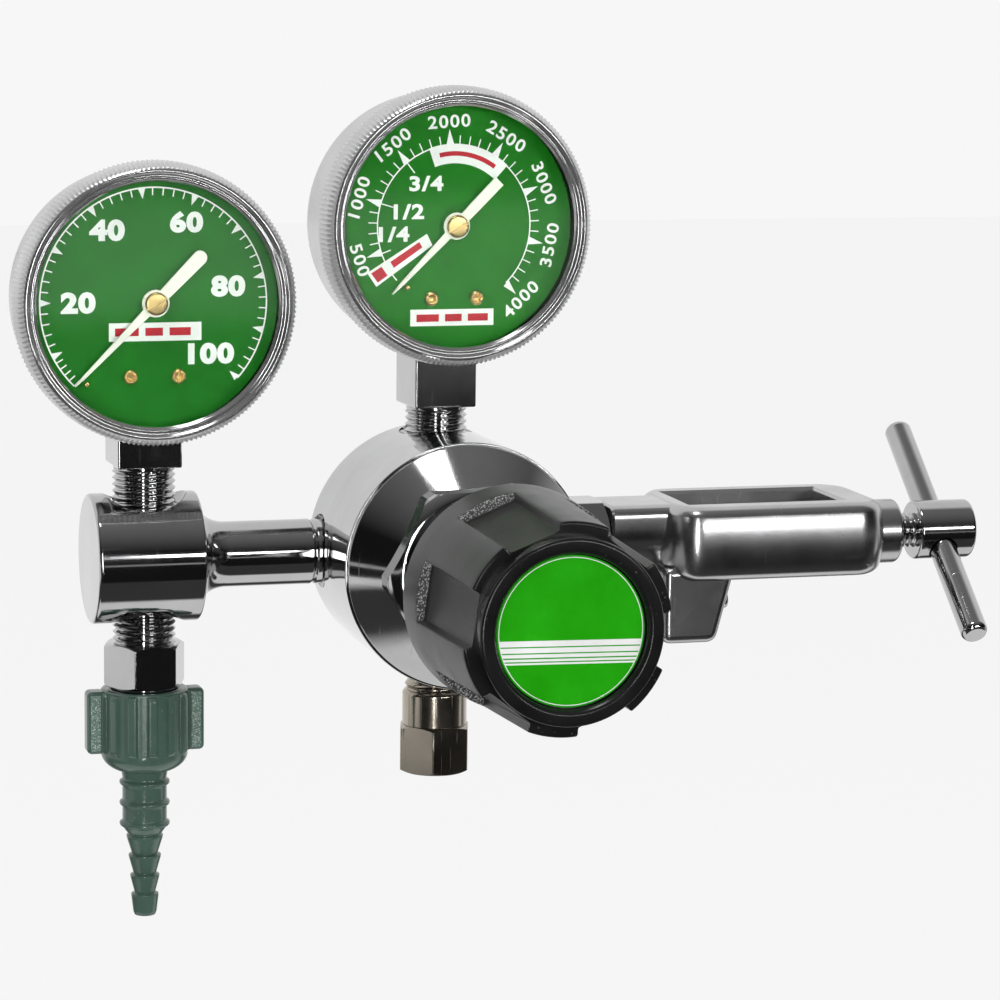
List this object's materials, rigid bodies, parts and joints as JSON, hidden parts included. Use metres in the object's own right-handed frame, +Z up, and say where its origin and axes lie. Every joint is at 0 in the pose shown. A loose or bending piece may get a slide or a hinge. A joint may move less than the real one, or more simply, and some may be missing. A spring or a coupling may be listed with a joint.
{
  "type": "oxygen regulator",
  "caption": "Pin-index yoke oxygen regulator with contents and outlet gauges, adjusting knob, relief valve, hose barb outlet and clamp screw.",
  "frame": {"origin": "centre of the inlet nipple's end face, on the clamp screw's axis", "axes": "+X from the outlet towards the yoke and out of the inlet nipple, -Y the front with the adjusting knob and the dials, +Z up"},
  "size_m": [0.2224, 0.1302, 0.1817],
  "materials": {
    "chrome": "polished",
    "nickel": "satin nickel",
    "steel": "satin",
    "brass": "satin",
    "black_plastic": "semi-gloss",
    "green_plastic": "semi-gloss",
    "label_green": "gloss print",
    "dial_green": "matt print",
    "pointer_white": "matt",
    "glass": "clear",
    "rubber": "matt",
    "bronze": "sintered"
  },
  "bodies": {
    "regulator": {"regulator_body": "chrome", "bonnet": "chrome", "outlet_manifold": "chrome", "outlet_nipple": "chrome", "inlet_stem": "chrome", "yoke_frame": "chrome", "outlet_case": "chrome", "outlet_bezel": "chrome", "outlet_socket": "chrome", "contents_case": "chrome", "contents_bezel": "chrome", "contents_socket": "chrome", "relief_body": "nickel", "main_spring": "steel", "poppet_spring": "steel", "relief_spring": "steel", "index_pin_left": "steel", "index_pin_right": "steel", "slip_ring": "brass", "valve_nozzle": "brass", "relief_plug": "brass", "inlet_nipple": "brass", "outlet_bourdon_tube": "brass", "outlet_movement_frame": "brass", "outlet_dial_screw_left": "brass", "outlet_dial_screw_right": "brass", "outlet_stop_pin": "brass", "contents_bourdon_tube": "brass", "contents_movement_frame": "brass", "contents_dial_screw_left": "brass", "contents_dial_screw_right": "brass", "contents_stop_pin": "brass", "diaphragm": "rubber", "seal_washer": "rubber", "inlet_filter": "bronze", "outlet_crystal": "glass", "contents_crystal": "glass", "outlet_dial": "dial_green", "contents_dial": "dial_green"},
    "knob": {"adjusting_knob": "black_plastic", "knob_label": "label_green", "adjusting_screw": "steel"},
    "button": {"spring_button": "steel"},
    "plate": {"diaphragm_plate": "brass"},
    "poppet": {"valve_poppet": "brass"},
    "relief": {"relief_poppet": "brass"},
    "clamp_ring": {"retaining_ring": "steel"},
    "clamp": {"clamp_screw": "chrome", "tommy_bar": "chrome"},
    "barb": {"hose_barb": "green_plastic"},
    "nut": {"wing_nut": "green_plastic"},
    "outlet_needle": {"outlet_pointer": "pointer_white", "outlet_pointer_arbor": "brass"},
    "outlet_sector": {"outlet_sector_gear": "brass"},
    "outlet_link_bar": {"outlet_link": "brass"},
    "contents_needle": {"contents_pointer": "pointer_white", "contents_pointer_arbor": "brass"},
    "contents_sector": {"contents_sector_gear": "brass"},
    "contents_link_bar": {"contents_link": "brass"}
  },
  "joints": [
    {"name": "button_travel", "type": "slide", "parent": "regulator", "child": "button", "axis": [0, 1, 0], "range_m": [0, 0.0075], "deforming": ["main_spring"]},
    {"name": "knob_turn", "type": "hinge", "parent": "button", "child": "knob", "pos_m": [-0.0673, -0.08, 0], "axis": [0, 1, 0], "range_deg": [0, 1800.1]},
    {"name": "plate_travel", "type": "slide", "parent": "regulator", "child": "plate", "axis": [0, 1, 0], "range_m": [0, 0.0008], "deforming": ["diaphragm"]},
    {"name": "poppet_travel", "type": "slide", "parent": "regulator", "child": "poppet", "axis": [0, 1, 0], "range_m": [0, 0.0008], "deforming": ["poppet_spring"]},
    {"name": "relief_lift", "type": "slide", "parent": "regulator", "child": "relief", "axis": [0, 0, -1], "range_m": [0, 0.001], "stiffness_N_per_m": 1500, "springref_m": -0.002, "deforming": ["relief_spring"]},
    {"name": "clamp_travel", "type": "slide", "parent": "regulator", "child": "clamp_ring", "axis": [-1, 0, 0], "range_m": [-0.0022, 0.0038]},
    {"name": "clamp_turn", "type": "hinge", "parent": "clamp_ring", "child": "clamp", "pos_m": [0.0327, 0, 0], "axis": [-1, 0, 0], "range_deg": [-634, 1095]},
    {"name": "barb_travel", "type": "slide", "parent": "regulator", "child": "barb", "axis": [0, 0, -1], "range_m": [0, 0.004]},
    {"name": "nut_turn", "type": "hinge", "parent": "barb", "child": "nut", "pos_m": [-0.13245, 0, -0.037], "axis": [0, 0, -1], "range_deg": [0, 1021]},
    {"name": "outlet_needle_turn", "type": "hinge", "parent": "regulator", "child": "outlet_needle", "pos_m": [-0.13245, 0, 0.0563], "axis": [-0.0227, 0.9997, 0], "range_deg": [0, 270]},
    {"name": "outlet_sector_turn", "type": "hinge", "parent": "regulator", "child": "outlet_sector", "pos_m": [-0.13245, 0, 0.0481], "axis": [0.0227, -0.9997, 0], "range_deg": [0, 60.5]},
    {"name": "outlet_link_travel", "type": "slide", "parent": "regulator", "child": "outlet_link_bar", "axis": [0.9997, 0.0227, 0], "range_m": [0, 0.00422], "stiffness_N_per_m": 200},
    {"name": "contents_needle_turn", "type": "hinge", "parent": "regulator", "child": "contents_needle", "pos_m": [-0.0673, 0, 0.072], "axis": [-0.0593, 0.9982, 0], "range_deg": [0, 270]},
    {"name": "contents_sector_turn", "type": "hinge", "parent": "regulator", "child": "contents_sector", "pos_m": [-0.0673, 0, 0.0638], "axis": [0.0593, -0.9982, 0], "range_deg": [0, 60.5]},
    {"name": "contents_link_travel", "type": "slide", "parent": "regulator", "child": "contents_link_bar", "axis": [0.9982, 0.0593, 0], "range_m": [0, 0.00422], "stiffness_N_per_m": 200}
  ],
  "couplings": [
    {"joint": "knob_turn", "follows": "button_travel", "rad_per_m": 4188.8},
    {"joint": "poppet_travel", "follows": "plate_travel", "ratio": 1},
    {"joint": "clamp_turn", "follows": "clamp_travel", "rad_per_m": 5026.5},
    {"joint": "nut_turn", "follows": "barb_travel", "rad_per_m": 4453},
    {"joint": "outlet_needle_turn", "follows": "outlet_link_travel", "rad_per_m": 1115.3},
    {"joint": "outlet_sector_turn", "follows": "outlet_link_travel", "rad_per_m": 249.49},
    {"joint": "contents_needle_turn", "follows": "contents_link_travel", "rad_per_m": 1115.3},
    {"joint": "contents_sector_turn", "follows": "contents_link_travel", "rad_per_m": 249.49}
  ]
}
